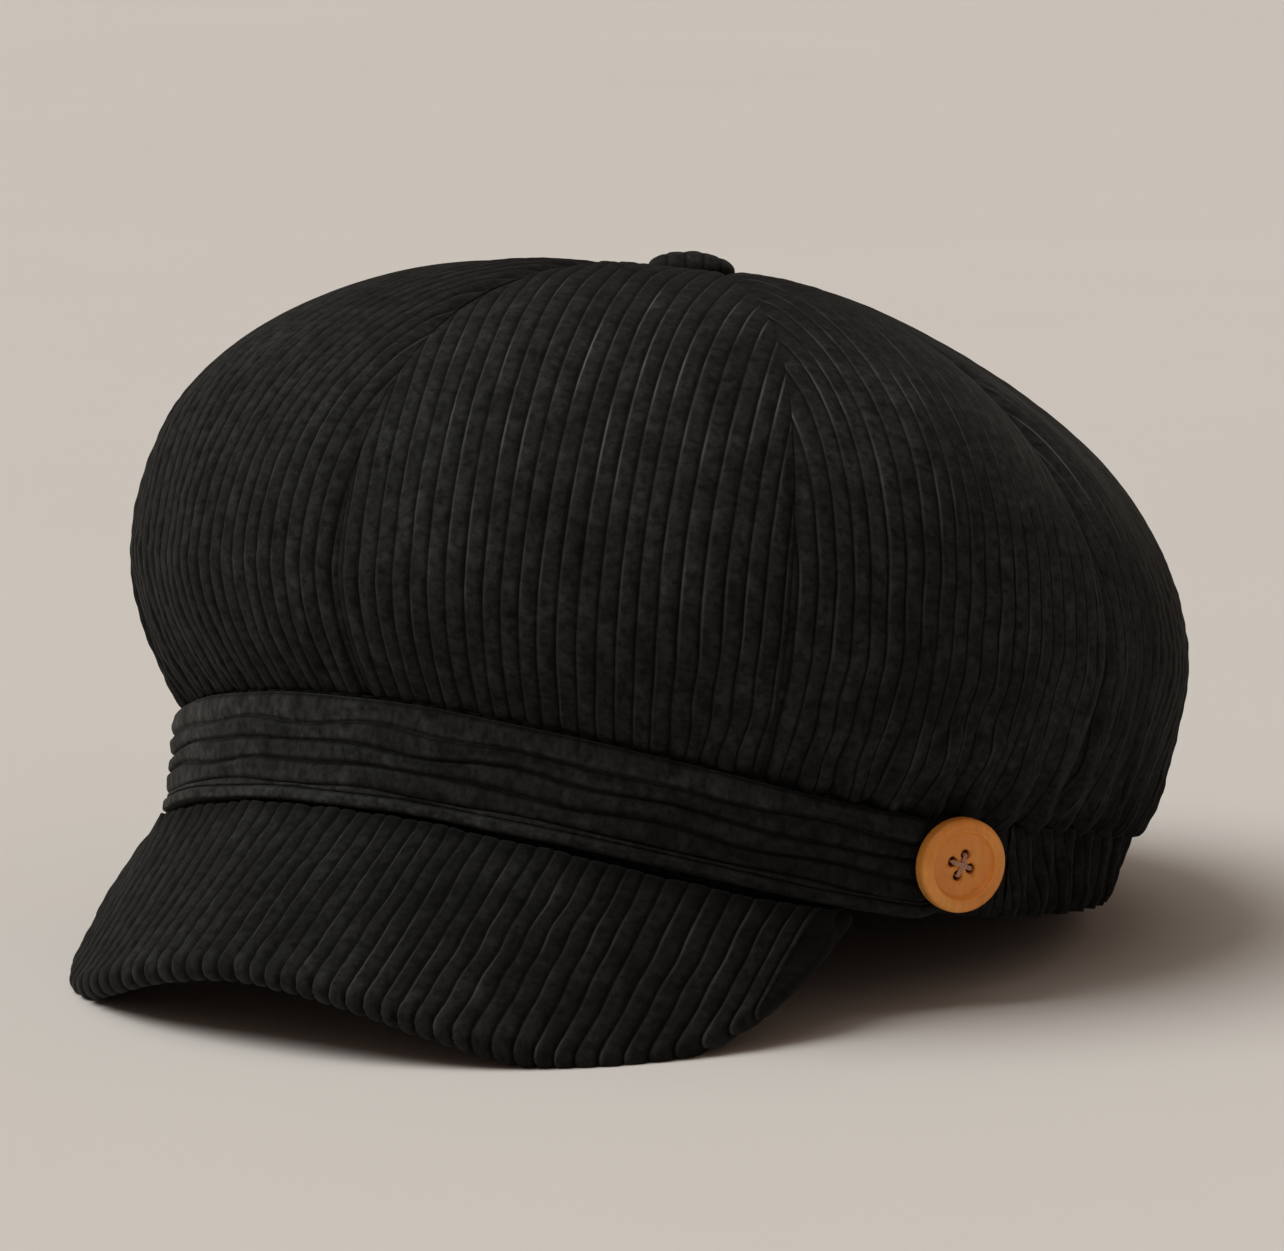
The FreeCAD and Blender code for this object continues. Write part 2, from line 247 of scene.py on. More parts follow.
def normals(place, a, b, step_a, step_b):
    """Unit normals of a sheet place(a, b), by the right-hand rule from a to b."""
    across = place(a + step_a, b) - place(a - step_a, b)
    along = place(a, b + step_b) - place(a, b - step_b)
    normal = np.cross(across, along)
    return normal / np.maximum(np.linalg.norm(normal, axis=-1, keepdims=True), 1e-9)


def lengths(points, axis):
    """Running length of a grid along one axis."""
    step = np.linalg.norm(np.diff(points, axis=axis), axis=-1)
    zero = np.zeros_like(np.take(step, [0], axis=axis))
    return np.concatenate((zero, np.cumsum(step, axis=axis)), axis=axis)


def span_grid(rows, columns, start, end):
    """A grid's value across, from start to end, and its share down, from 0 to 1."""
    across = np.linspace(start, end, columns)[None, :] * np.ones((rows, 1))
    share = np.linspace(0.0, 1.0, rows)[:, None] * np.ones((1, columns))
    return across, share


# ---------------------------------------------------------------- meshes

def finish_mesh(mesh, attributes):
    for name, values in attributes.items():
        layer = mesh.attributes.new(name, "FLOAT", "POINT")
        layer.data.foreach_set("value", np.asarray(values, dtype=np.float32).ravel())
    mesh.polygons.foreach_set("use_smooth", np.ones(len(mesh.polygons), dtype=bool))
    mesh.update()


def grid_object(name, points, material, ring_rows=False, **attributes):
    """Mesh through a grid of band-frame points; ring_rows closes each row on itself."""
    rows, columns = points.shape[:2]
    index = np.arange(rows * columns).reshape(rows, columns)
    if ring_rows:
        index = np.concatenate((index, index[:, :1]), axis=1)
    corners = (index[:-1, :-1], index[:-1, 1:], index[1:, 1:], index[1:, :-1])
    faces = np.stack(corners, axis=-1).reshape(-1, 4).tolist()
    if ring_rows:
        faces.append(index[0, :-1][::-1].tolist())
        faces.append(index[-1, :-1].tolist())
    placed = to_row(points).reshape(-1, 3)
    placed[:, 2] = np.maximum(placed[:, 2], FLOOR_GAP)
    mesh = bpy.data.meshes.new(name)
    mesh.from_pydata(placed.tolist(), [], faces)
    finish_mesh(mesh, attributes)
    made = bpy.data.objects.new(name, mesh)
    bpy.context.scene.collection.objects.link(made)
    mesh.materials.append(material)
    return made


def with_skirt(points, values, normal, depth, sides):
    """Turns the cloth's edges in, along minus the normal; sides lists the (axis, end) to turn."""
    for axis, end in sides:
        way = np.take(normal, [end], axis=axis)
        turned = np.take(points, [end], axis=axis) - way * depth

        def joined(grid, edge):
            return np.concatenate((edge, grid) if end == 0 else (grid, edge), axis=axis)

        points = joined(points, turned)
        normal = joined(normal, way)
        values = {name: joined(grid, np.take(grid, [end], axis=axis)) for name, grid in values.items()}
    return points, values


# ---------------------------------------------------------------- materials

BODY = (0.0150, 0.0157, 0.0148)   # the pile's own colour


def new_material(name):
    material = bpy.data.materials.new(name)
    material.use_nodes = True
    return material, material.node_tree, material.node_tree.nodes["Principled BSDF"]


def add(tree, kind, **values):
    """Adds a node; values set its properties, or its inputs where the name is an input's."""
    node = tree.nodes.new(kind)
    for key, value in values.items():
        if key in node.inputs:
            node.inputs[key].default_value = value
        else:
            setattr(node, key, value)
    return node


def grey(value, warm=0.0):
    return (value * (1.0 + warm), value, value * (1.0 - warm))


def ramp(tree, source, stops):
    """Colour ramp; a stop's colour may be a single number, for a grey."""
    node = tree.nodes.new("ShaderNodeValToRGB")
    tree.links.new(source, node.inputs["Fac"])
    elements = node.color_ramp.elements
    while len(elements) < len(stops):
        elements.new(0.5)
    for element, (place, colour) in zip(elements, stops):
        element.position = place
        element.color = (*(colour if isinstance(colour, tuple) else grey(colour)), 1.0)
    return node.outputs["Color"]


def noise(tree, coords, scale, detail=4.0, rough=0.55):
    node = add(tree, "ShaderNodeTexNoise", Scale=scale, Detail=detail, Roughness=rough)
    tree.links.new(coords, node.inputs["Vector"])
    return node.outputs["Fac"]


def set_sockets(shader, values):
    for name, value in values.items():
        shader.inputs[name].default_value = value


def add_bump(tree, shader, height, strength, distance):
    bump = add(tree, "ShaderNodeBump", Strength=strength, Distance=distance)
    tree.links.new(height, bump.inputs["Height"])
    tree.links.new(bump.outputs["Normal"], shader.inputs["Normal"])


def mix(tree, kind, first, second):
    node = add(tree, "ShaderNodeMix", data_type="RGBA", blend_type=kind, Factor=1.0)
    tree.links.new(first, node.inputs["A"])
    tree.links.new(second, node.inputs["B"])
    return node.outputs["Result"]


def multiply(tree, first, second):
    return mix(tree, "MULTIPLY", first, second)


def object_coords(tree, stretch=(1.0, 1.0, 1.0)):
    source = tree.nodes.new("ShaderNodeTexCoord")
    mapping = add(tree, "ShaderNodeMapping", Scale=stretch)
    tree.links.new(source.outputs["Object"], mapping.inputs["Vector"])
    return mapping.outputs["Vector"]


def scalar(tree, source):
    """A number stored at the mesh's points."""
    return add(tree, "ShaderNodeAttribute", attribute_name=source).outputs["Fac"]


def scalar_grey(tree, source):
    """The same number as a grey."""
    node = tree.nodes.new("ShaderNodeCombineXYZ")
    for axis in ("X", "Y", "Z"):
        tree.links.new(scalar(tree, source), node.inputs[axis])
    return node.outputs["Vector"]


def corduroy_material():
    """Black cotton pile. phase counts the wales, along runs down them in mm, and tone is painted light and
    shade that lightens or darkens the cloth.
    Each wale has painted shade in its groove, a thin painted highlight along one flank, scaled by the
    shine attribute, and uneven nap."""
    material, tree, shader = new_material("corduroy")
    coords = object_coords(tree)
    phase = scalar(tree, "phase")
    along = scalar(tree, "along")
    part = add(tree, "ShaderNodeMath", operation="FRACT")
    tree.links.new(phase, part.inputs[0])
    # Painted shade in each groove: darkest in the groove, near the pile's own colour on the crest.
    across = ramp(tree, part.outputs[0], [
        (0.0, 0.15), (0.06, 0.45), (0.18, 1.12), (0.45, 1.0),
        (0.80, 0.86), (0.93, 0.42), (1.0, 0.12),
    ])
    # worn fades the painted groove shade where the pile is brushed flat.
    flat = add(tree, "ShaderNodeMix", data_type="RGBA")
    tree.links.new(scalar(tree, "worn"), flat.inputs["Factor"])
    tree.links.new(across, flat.inputs["A"])
    flat.inputs["B"].default_value = (1.0, 1.0, 1.0, 1.0)
    across = flat.outputs["Result"]
    # Painted highlight: a thin pale line along one flank of each wale.
    line = ramp(tree, part.outputs[0], [
        (0.03, 0.0), (0.085, grey(1.0, 0.03)), (0.12, grey(0.8, 0.03)), (0.20, 0.0),
    ])
    weave = tree.nodes.new("ShaderNodeCombineXYZ")
    tree.links.new(phase, weave.inputs["X"])
    tree.links.new(along, weave.inputs["Y"])

    def uneven(stretch, start, detail, rough, *stops):
        """Noise stretched along the wales."""
        mapping = add(tree, "ShaderNodeMapping", Scale=(*stretch, 1.0), Location=(*start, 0.0))
        tree.links.new(weave.outputs["Vector"], mapping.inputs["Vector"])
        return ramp(tree, noise(tree, mapping.outputs["Vector"], 1.0, detail, rough), stops)

    nap = uneven((0.9, 0.20), (0.0, 0.0), 4.0, 0.6, (0.32, 0.55), (0.5, 1.0), (0.70, 1.5))
    tufts = uneven((1.9, 0.62), (2.0, 5.0), 3.0, 0.6, (0.34, 0.50), (0.5, 1.02), (0.68, 1.35))
    # lit varies the painted highlight's brightness along the wales.
    lit = uneven((1.0, 0.045), (7.0, 3.0), 3.0, 0.5, (0.36, 0.004), (0.50, 0.022), (0.66, 0.075))
    patches = ramp(tree, noise(tree, coords, 48.0, 4.0, 0.6), [(0.33, 0.72), (0.68, 1.3)])
    lint = ramp(tree, noise(tree, coords, 520.0, 3.0, 0.7), [(0.3, 0.72), (0.72, 1.32)])
    body = add(tree, "ShaderNodeRGB")
    body.outputs[0].default_value = (*BODY, 1.0)
    colour = body.outputs[0]
    for layer in (across, nap, tufts, patches, lint):
        colour = multiply(tree, colour, layer)
    # The painted highlight: the pale line, varied by lit and scaled by the shine attribute, is added on
    # top of the colour; tone then multiplies in painted light and shade.
    painted_highlight = multiply(tree, multiply(tree, line, lit), scalar_grey(tree, "shine"))
    toned = multiply(tree, mix(tree, "ADD", colour, painted_highlight), scalar_grey(tree, "tone"))
    tree.links.new(toned, shader.inputs["Base Color"])
    set_sockets(shader, {
        "Roughness": 0.9, "Specular IOR Level": 0.12, "Sheen Weight": 0.035, "Sheen Roughness": 0.4,
        "Sheen Tint": (0.75, 0.75, 0.68, 1.0),
    })
    add_bump(tree, shader, noise(tree, coords, 1400.0, 3.0, 0.7), 0.6, 0.0003)
    return material


def woven_material(name, colour, pitch, roughness, sheen):
    """Plain woven cloth with its threads as a bump, and slight variation."""
    material, tree, shader = new_material(name)
    coords = object_coords(tree)
    tone = ramp(tree, noise(tree, coords, 90.0), [
        (0.3, tuple(0.75 * c for c in colour)), (0.7, tuple(1.25 * c for c in colour)),
    ])
    tree.links.new(tone, shader.inputs["Base Color"])
    set_sockets(shader, {"Roughness": roughness, "Sheen Weight": sheen})
    threads = []
    for direction in ("X", "Z"):
        wave = add(tree, "ShaderNodeTexWave", bands_direction=direction, Scale=0.3 / pitch, Distortion=0.6)
        tree.links.new(coords, wave.inputs["Vector"])
        threads.append(wave.outputs["Color"])
    add_bump(tree, shader, multiply(tree, *threads), 0.4, 0.0002)
    return material


def button_material():
    """Turned, stained wood: fine grain lines, uneven stain, satin lacquer."""
    material, tree, shader = new_material("button_wood")
    coords = object_coords(tree, (1.0, 3.2, 0.55))
    grain = noise(tree, coords, 260.0, 6.0, 0.62)
    stain = ramp(tree, noise(tree, object_coords(tree), 75.0, 3.0), [
        (0.3, (0.78, 0.27, 0.040)), (0.5, (0.86, 0.33, 0.058)), (0.72, (0.95, 0.42, 0.10)),
    ])
    lines = ramp(tree, grain, [(0.34, (0.90, 0.86, 0.80)), (0.5, 0.98), (0.7, 1.05)])
    tree.links.new(multiply(tree, stain, lines), shader.inputs["Base Color"])
    set_sockets(shader, {"Roughness": 0.42, "Specular IOR Level": 0.4})
    add_bump(tree, shader, grain, 0.2, 0.0001)
    return material


def metal_material():
    """Stamped tin of the covered button's shell and back."""
    material, tree, shader = new_material("button_metal")
    tone = ramp(tree, noise(tree, object_coords(tree), 300.0), [(0.3, 0.42), (0.7, 0.62)])
    tree.links.new(tone, shader.inputs["Base Color"])
    set_sockets(shader, {"Metallic": 1.0, "Roughness": 0.4})
    return material


CORDUROY = corduroy_material()
LINING = woven_material("lining_cloth", (0.016, 0.016, 0.018), 0.0005, 0.45, 0.1)
GROSGRAIN = woven_material("grosgrain", (0.02, 0.019, 0.018), 0.0011, 0.7, 0.2)
ELASTIC = woven_material("elastic_web", (0.05, 0.05, 0.05), 0.0009, 0.8, 0.1)
CANVAS = woven_material("interlining_cloth", (0.014, 0.014, 0.013), 0.0007, 0.9, 0.0)
BOARD = woven_material("visor_board_card", (0.016, 0.016, 0.015), 0.004, 0.8, 0.0)
THREAD = woven_material("sewing_thread", (0.56, 0.34, 0.24), 0.0003, 0.75, 0.2)
WOOD = button_material()
METAL = metal_material()


# ---------------------------------------------------------------- joints

def follow(made):
    """Cloth across a joint: its placement is baked into its mesh."""
    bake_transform(made)


def stretch_crown(made):
    """The crown's cloth: its placement is baked into its mesh, as follow() does."""
    follow(made)


def stretch_band(made):
    """Cloth between the fixed front of the band and its free back."""
    follow(made)


def bend_with_visor(made):
    """The visor's pieces: their placement is baked into the mesh, as follow() does."""
    follow(made)


# ---------------------------------------------------------------- crown

def seam_angle(index):
    """Where a seam meets the band; the quarter seams creep towards the sides."""
    even = 360.0 * index / GORES
    return even + SEAM_CREEP * math.sin(math.radians(2.0 * even))


def flare(angle):
    """How far the top edge of the band leans out, round the back."""
    turned = np.abs(signed(angle))
    return REAR_FLARE * smooth((turned - 90.0) / 34.0)


def crown_sheet(angle, share):
    """Crown surface along the seams; share runs from the band (0) to the centre (1)."""
    turn = np.radians(angle)
    turned = np.abs(signed(angle))
    rear = rear_share(angle)
    front = np.cos(turn)
    base = arch(angle) + band_height(angle) + 0.3 + 0.6 * rear
    widest = WIDEST_HEIGHT + WIDEST_TILT * front
    bulge = FRONT_BULGE * np.exp(-(((turned - 52.0) / 34.0) ** 2))

    drop = np.clip(1.0 - share / WIDEST_SHARE, 0.0, 1.0)
    hang = rear ** 1.4
    first = 3.0 * (1.0 - drop) ** 2 * drop
    second = 3.0 * (1.0 - drop) * drop ** 2
    inward = first * 0.12 + second * (0.66 + 0.29 * hang) + drop ** 3
    fall = first * 0.46 + second * (0.78 + 0.72 * hang) + drop ** 3
    foot = flare(angle)
    low_x = CROWN_RX + bulge - (CROWN_RX + bulge - BAND_RX - foot) * inward
    low_y = CROWN_RY + bulge - (CROWN_RY + bulge - BAND_RY - foot) * inward
    low_z = widest - (widest - base) * fall

    last = math.acos(TOP_HOLE / CROWN_RX)
    rise = last * (share - WIDEST_SHARE) / (1.0 - WIDEST_SHARE)
    wide = CROWN_RX * np.cos(rise)
    long = wide + (CROWN_RY - CROWN_RX) * np.cos(rise) ** 2
    lean = np.tanh(2.0 * front)
    size = np.where(lean > 0, SHOULDER_FRONT, SHOULDER_REAR)
    shoulder = size * lean * np.sin(2.0 * rise) ** 2
    dimple = DIMPLE_DEPTH * np.exp(-((wide / DIMPLE_RADIUS) ** 2))
    slack = bulge * np.cos(rise) ** 3
    high_x = wide + shoulder * np.cos(rise) + slack
    high_y = long + shoulder * np.cos(rise) + slack
    high_z = widest + (CROWN_HEIGHT - widest) * np.sin(rise) - dimple + shoulder * np.sin(rise)

    lower = share < WIDEST_SHARE
    x = np.where(lower, low_x, high_x)
    y = np.where(lower, low_y, high_y)
    z = np.where(lower, low_z, high_z)
    return np.stack((x * np.sin(turn), -y * np.cos(turn), z), axis=-1)


def gore_grid(index, rows, columns):
    """Angles and shares of a gore's grid, its seam sheet, normals, half width and length along it."""
    start, end = seam_angle(index), seam_angle(index + 1)
    across, share = span_grid(rows, columns, -1.0, 1.0)
    angle = (start + end) / 2.0 + across * (end - start) / 2.0
    sheet = crown_sheet(angle, share)
    normal = normals(crown_sheet, angle, share, 0.2, 0.002)
    half = lengths(sheet, 1)[:, -1:] / 2.0
    widest = int(WIDEST_SHARE * (rows - 1))
    half = np.concatenate((np.repeat(half[widest:widest + 1], widest, axis=0), half[widest:]))
    return across, angle, share, sheet, normal, half, lengths(sheet, 0)


def crown_folds(index, side, turned, length, around):
    """Height of the cloth's own folds: soft gathers over the band, and slack down the panels."""
    gather = 0.25 + 0.85 * smooth((turned - 25.0) / 60.0)
    fade = np.exp(-((length / 17.0) ** 1.4))
    waves = np.sin(2.0 * math.pi * around / 8.5 + 2.2 * ripple(40, around, length, 60.0, 40.0))
    slack = 0.7 * ripple(50 + index, side, length, 34.0, 75.0)
    return gather * fade * waves + slack * smooth(length / 40.0)


def bell(value, middle, width):
    return np.exp(-(((value - middle) / width) ** 2))


def crown_nap(angle, share):
    """Where the pile is brushed flat, 0..1, and how strong the painted highlight along the wales' edges
    is.
    """
    turned = signed(angle)
    worn = 1.1 * bell(turned, -46.0, 30.0) * smooth((share - 0.42) / 0.16)
    worn = worn + 0.9 * bell(turned, 92.0, 32.0) * smooth((share - 0.32) / 0.16)
    worn = worn + 0.5 * bell(turned, 190.0, 60.0) * smooth((share - 0.5) / 0.2)
    # shine: painted highlight, 0.45 everywhere and brighter in two patches, on the front quarter and the
    # side at the wearer's left.
    shine = 0.45 + 1.1 * bell(turned, 32.0, 30.0) * bell(share, 0.62, 0.26)
    shine = shine + 1.0 * bell(turned, 98.0, 14.0) * bell(share, 0.52, 0.14)
    return np.clip(worn, 0.0, 1.0), shine


def make_gore(index):
    """One panel of the crown, its wales parallel to its own centre line and cut off by its seams."""
    across, angle, share, sheet, normal, half, length = gore_grid(index, 150, 191)
    side = across * half
    around = band_run(angle)
    turned = np.abs(signed(angle))
    bunch = np.exp(-((length / 30.0) ** 1.5)) * smooth((turned - 15.0) / 60.0)
    wander = 0.40 * ripple(60 + index, side, length, 30.0, 60.0)
    wander = wander + 1.2 * bunch * ripple(70 + index, side, length, 14.0, 16.0)
    phase = (side + wander) / PITCH + 0.5
    wale = wale_profile(phase)
    inset = (1.0 - np.abs(across)) * half
    seam = np.exp(-((inset / SEAM_REACH) ** 2))
    room = smooth(half / 12.0)
    back = float(smooth((np.mean(turned) - 50.0) / 55.0))
    puff = PUFF_FRONT + (PUFF_REAR - PUFF_FRONT) * back * smooth((share - 0.25) / 0.3)
    height = puff * (1.0 - np.abs(across) ** 2.4) * np.sin(math.pi * np.clip(share, 0.0, 1.0)) ** 0.8
    height = height + crown_folds(index, side, turned, length, around) * (1.0 - 0.6 * seam)
    height = height - SEAM_DEPTH * seam * room
    relief = WALE * (1.0 + 0.8 * bunch + (0.22 + 0.20 * bunch) * beads(index, phase, length))
    relief = relief * (0.8 + 0.3 * ripple(80 + index, side, length, 22.0, 26.0))
    worn, shine = crown_nap(angle, share)
    height = height + relief * wale * (1.0 - seam) * room * (1.0 - 0.9 * worn)
    points = sheet + normal * height[..., None]
    # tone paints shade in the gathers near the band and in the seam valleys, and darkens the cloth towards
    # the crown's top; shine sets the painted highlight along the wales, and worn fades the painted groove
    # shade.
    tone = (1.0 - 0.30 * bunch) * (1.0 - 0.15 * seam) * (1.0 - 0.60 * smooth((share - 0.5) / 0.35))
    values = {"phase": phase, "along": length + 200.0 * index, "tone": tone, "worn": worn, "shine": shine}
    points, values = with_skirt(points, values, normal, GORE_HEM, ((0, 0), (1, 0), (1, -1)))
    made = grid_object("corduroy_gore_%d" % (index + 1), points, CORDUROY, **values)
    declare_panel(made, "crown_gore_%d" % (index + 1))


def declare_panel(made, node):
    """Hides the CAD node that the panel stands for and bakes the panel's placement."""
    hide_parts(node)
    stretch_crown(made)


def make_lining(index):
    """One panel of the lining, which hangs a little slack inside its gore."""
    across, _, share, sheet, normal, half, length = gore_grid(index, 60, 31)
    side = across * half
    seam = np.exp(-(((1.0 - np.abs(across)) * half / SEAM_REACH) ** 2))
    slack = 0.8 * ripple(90 + index, side, length, 26.0, 60.0)
    slack = slack + 0.7 * ripple(99, side, length, 12.0, 30.0)
    height = -LINING_GAP - LINING_SAG * smooth(length / 30.0)
    height = height + (slack * (1.0 - seam) + 0.5 * seam) * smooth(length / 20.0)
    keep = (share[:, 0] <= 0.975) & (share[:, 0] >= 0.01)
    points = (sheet + normal * height[..., None])[keep]
    made = grid_object("lining_panel_%d" % (index + 1), points, LINING)
    declare_panel(made, "lining_gore_%d" % (index + 1))


# ---------------------------------------------------------------- band

def band_cloth(name, start, end, gathered, node_names, columns):
    """Upright corduroy of the band, folded under at its lower edge."""
    angle, share = span_grid(26, columns, start, end)

    def place(a, s):
        return ring(a, flare(a) * s ** 1.3, arch(a) + band_height(a) * s)

    sheet = place(angle, share)
    normal = normals(place, angle, np.maximum(share, 0.02), 0.2, 0.01)
    around = lengths(sheet, 1)
    up = lengths(sheet, 0)
    pitch, lean, relief, fold = PITCH, 0.0, 0.5, 0.0
    if gathered:
        pitch = 0.80 * PITCH
        lean = 0.22 * up + 1.2 * ripple(21, around, up, 30.0, 40.0)
        ends = smooth((around - 1.0) / 10.0) * smooth((around[:, -1:] - around - 1.0) / 10.0)
        fold = 0.8 * ends * np.sin(2.0 * math.pi * around / 9.5 + 2.0 * ripple(22, around, up, 50.0, 30.0))
        relief = 0.9
    phase = (around + lean) / pitch
    height = relief * (1.0 + 0.12 * beads(5, phase, up)) * wale_profile(phase) + fold
    height = height - 0.9 * np.exp(-((up / 1.6) ** 2))
    points = sheet + normal * height[..., None]
    values = {"phase": phase, "along": up, "tone": np.full_like(phase, 0.7)}
    points, values = with_skirt(points, values, normal, BAND_HEM, ((0, 0),))
    made = grid_object(name, points, CORDUROY, **values)
    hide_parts(*node_names)
    return made


def tape(name, reach, outer, thick, inset, ribs, material, node_names):
    """Closed tape inside the band, its outer face outer mm from the band's line and ribbed inside."""
    start, end = reach
    columns = int(abs(end - start) * 3.0)
    angle = np.linspace(start, end, columns)
    low = arch(angle) + inset
    high = arch(angle) + band_height(angle) - inset
    steps = 14
    loop = [(i / (steps - 1.0), 0.0) for i in range(steps)]
    loop += [(1.0 - i / (steps - 1.0), 1.0) for i in range(steps)]
    grid = np.zeros((columns, len(loop), 3))
    rib = 0.12 * np.sin(2.0 * math.pi * angle / ribs)
    for column, (share, through) in enumerate(loop):
        offset = outer - thick * through + (rib if through == 1.0 else 0.0)
        grid[:, column] = ring(angle, offset, low + (high - low) * share)
    made = grid_object(name, grid[:, ::-1], material, ring_rows=True)
    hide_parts(*node_names)
    return made


# ---------------------------------------------------------------- strap

def strap_outline():
    """Cross-section of the strap from its top: (outward mm, share of height, wales counted, tone).
    The tone is painted light: lighter on the hem and the rolled lip, darker on the back against the band.
    A flat hem, three level wales, and a lip rolled twice along the bottom. Each roll is its top and
    bottom as shares of the height, how far out its foot and its crest stand, and its tone of painted
    light."""
    points = [(0.3, 0.96, 0.3, 1.2), (0.9, 0.995, 0.3, 1.6), (1.6, 1.0, 0.3, 1.7)]
    rolls = [
        (0.995, 0.745, 1.7, 0.85, 1.6), (0.745, 0.545, 1.4, 1.35, 1.2), (0.545, 0.345, 1.4, 1.4, 1.15),
        (0.345, 0.130, 1.4, 1.4, 1.05), (0.130, 0.085, 2.2, 0.5, 1.3), (0.085, -0.055, 1.9, 1.5, 1.45),
    ]
    steps = 13
    for count, (top, bottom, floor, rise, tone) in enumerate(rolls):
        for i in range(steps):
            part = (i + 0.5) / steps
            rounded = float(wale_profile(np.array(part)))
            share = top + (bottom - top) * part
            points.append((floor + rise * rounded, share, count + 1.0 - part, tone))
    points += [(1.2, -0.06, 0.2, 0.5), (0.3, -0.03, 0.1, 0.4), (0.3, 0.3, 0.1, 0.4), (0.3, 0.6, 0.1, 0.4)]
    return points


def make_strap():
    """Front strap: folded corduroy with level wales, a hem along the top and a rolled lower lip."""
    columns = 420
    angle = np.linspace(-STRAP_HALF, STRAP_HALF, columns)
    outline = np.array(strap_outline())
    height = band_height(angle)
    around = band_run(angle)
    taper = smooth((STRAP_HALF - np.abs(angle)) / 2.5)
    stand = STRAP_STAND * np.exp(-(((np.abs(angle) - 52.0) / 22.0) ** 2))
    low = arch(angle) - 0.5 + 0.25 * ripple(31, around, around * 0.0, 42.0, 1.0)
    tuck = STRAP_TUCK * (1.0 - smooth((STRAP_HALF - np.abs(angle)) / 6.0))
    grid = np.zeros((columns, len(outline), 3))
    for column, (outward, share, _, _) in enumerate(outline):
        level = np.full(columns, share * FRONT_HEIGHT)
        seen = outward > 1.5
        wrinkle = 0.26 * ripple(32, around, level, 26.0, 9.0) + 0.16 * ripple(33, around, level, 6.0, 4.0)
        drift = 0.030 * ripple(34, around, level, 42.0, 10.0) * (0.12 < share < 0.93)
        offset = 0.3 + stand + (outward - 0.3 + wrinkle * seen) * (0.35 + 0.65 * taper)
        grid[:, column] = ring(angle, offset, low + height * (tuck + (1.0 - tuck) * (share + drift)))
    rows = np.ones((columns, 1))
    values = {"phase": outline[None, :, 2] * rows, "along": around[:, None] + outline[None, :, 1] * 0.0}
    # tone paints light: each part's tone from the outline, lighter towards the wearer's right, where the
    # key light comes from, and darker towards the wearer's left.
    values["tone"] = outline[None, :, 3] * (1.08 - 0.60 * np.tanh(angle / 40.0))[:, None]
    made = grid_object("front_strap", grid, CORDUROY, ring_rows=True, **values)
    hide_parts("strap_face", "strap_backing")
    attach(made, "cap")


# ---------------------------------------------------------------- visor

def visor_edge(angle):
    turn = np.radians(angle)
    span = math.radians(VISOR_SPAN)
    x = BAND_RX * math.sin(span) * np.sin(turn) + VISOR_BULGE * np.sin(2.0 * turn)
    y = -BAND_RY * math.cos(span) - VISOR_REACH * np.cos(turn)
    curl = VISOR_CORNER_DROP * np.sin(turn) ** 2 * np.cos(turn)
    return np.stack((x, y, VISOR_ARCH - VISOR_DROP * np.cos(turn) - curl), axis=-1)


def visor_sheet(angle, share):
    """Underside of the visor, from the root (0) to the free edge (1)."""
    around = angle * VISOR_SPAN / 90.0
    root = ring(around, ROOT_GAP, arch(around) - ROOT_DROP - VISOR_THICK)
    return root + (visor_edge(angle) - root) * share[..., None]


def visor_up(angle, share):
    return -normals(visor_sheet, angle, share, 0.2, 0.01)


def visor_middle(angle, share):
    return visor_sheet(angle, share) + visor_up(angle, share) * (VISOR_THICK / 2.0)


def visor_wales(points):
    """Unrolled distance from the centre line: the wales run straight forward, side by side."""
    angle = np.linspace(0.0, 89.0, 120)
    share = np.full_like(angle, 0.62)
    line = visor_middle(angle, share)
    step = np.hypot(np.diff(line[:, 0]), np.diff(line[:, 2]))
    flat = np.concatenate(([0.0], np.cumsum(step)))
    x = np.abs(points[..., 0])
    far = np.interp(x, line[:, 0], flat)
    return np.sign(points[..., 0]) * far


def visor_phase(flat):
    """Wales counted out from the centre line; pulled cloth sets them wider on one side."""
    pulled = VISOR_PULL * VISOR_PULL_REACH * np.log(np.cosh(flat / VISOR_PULL_REACH))
    return (flat + pulled) / VISOR_PITCH + 0.5


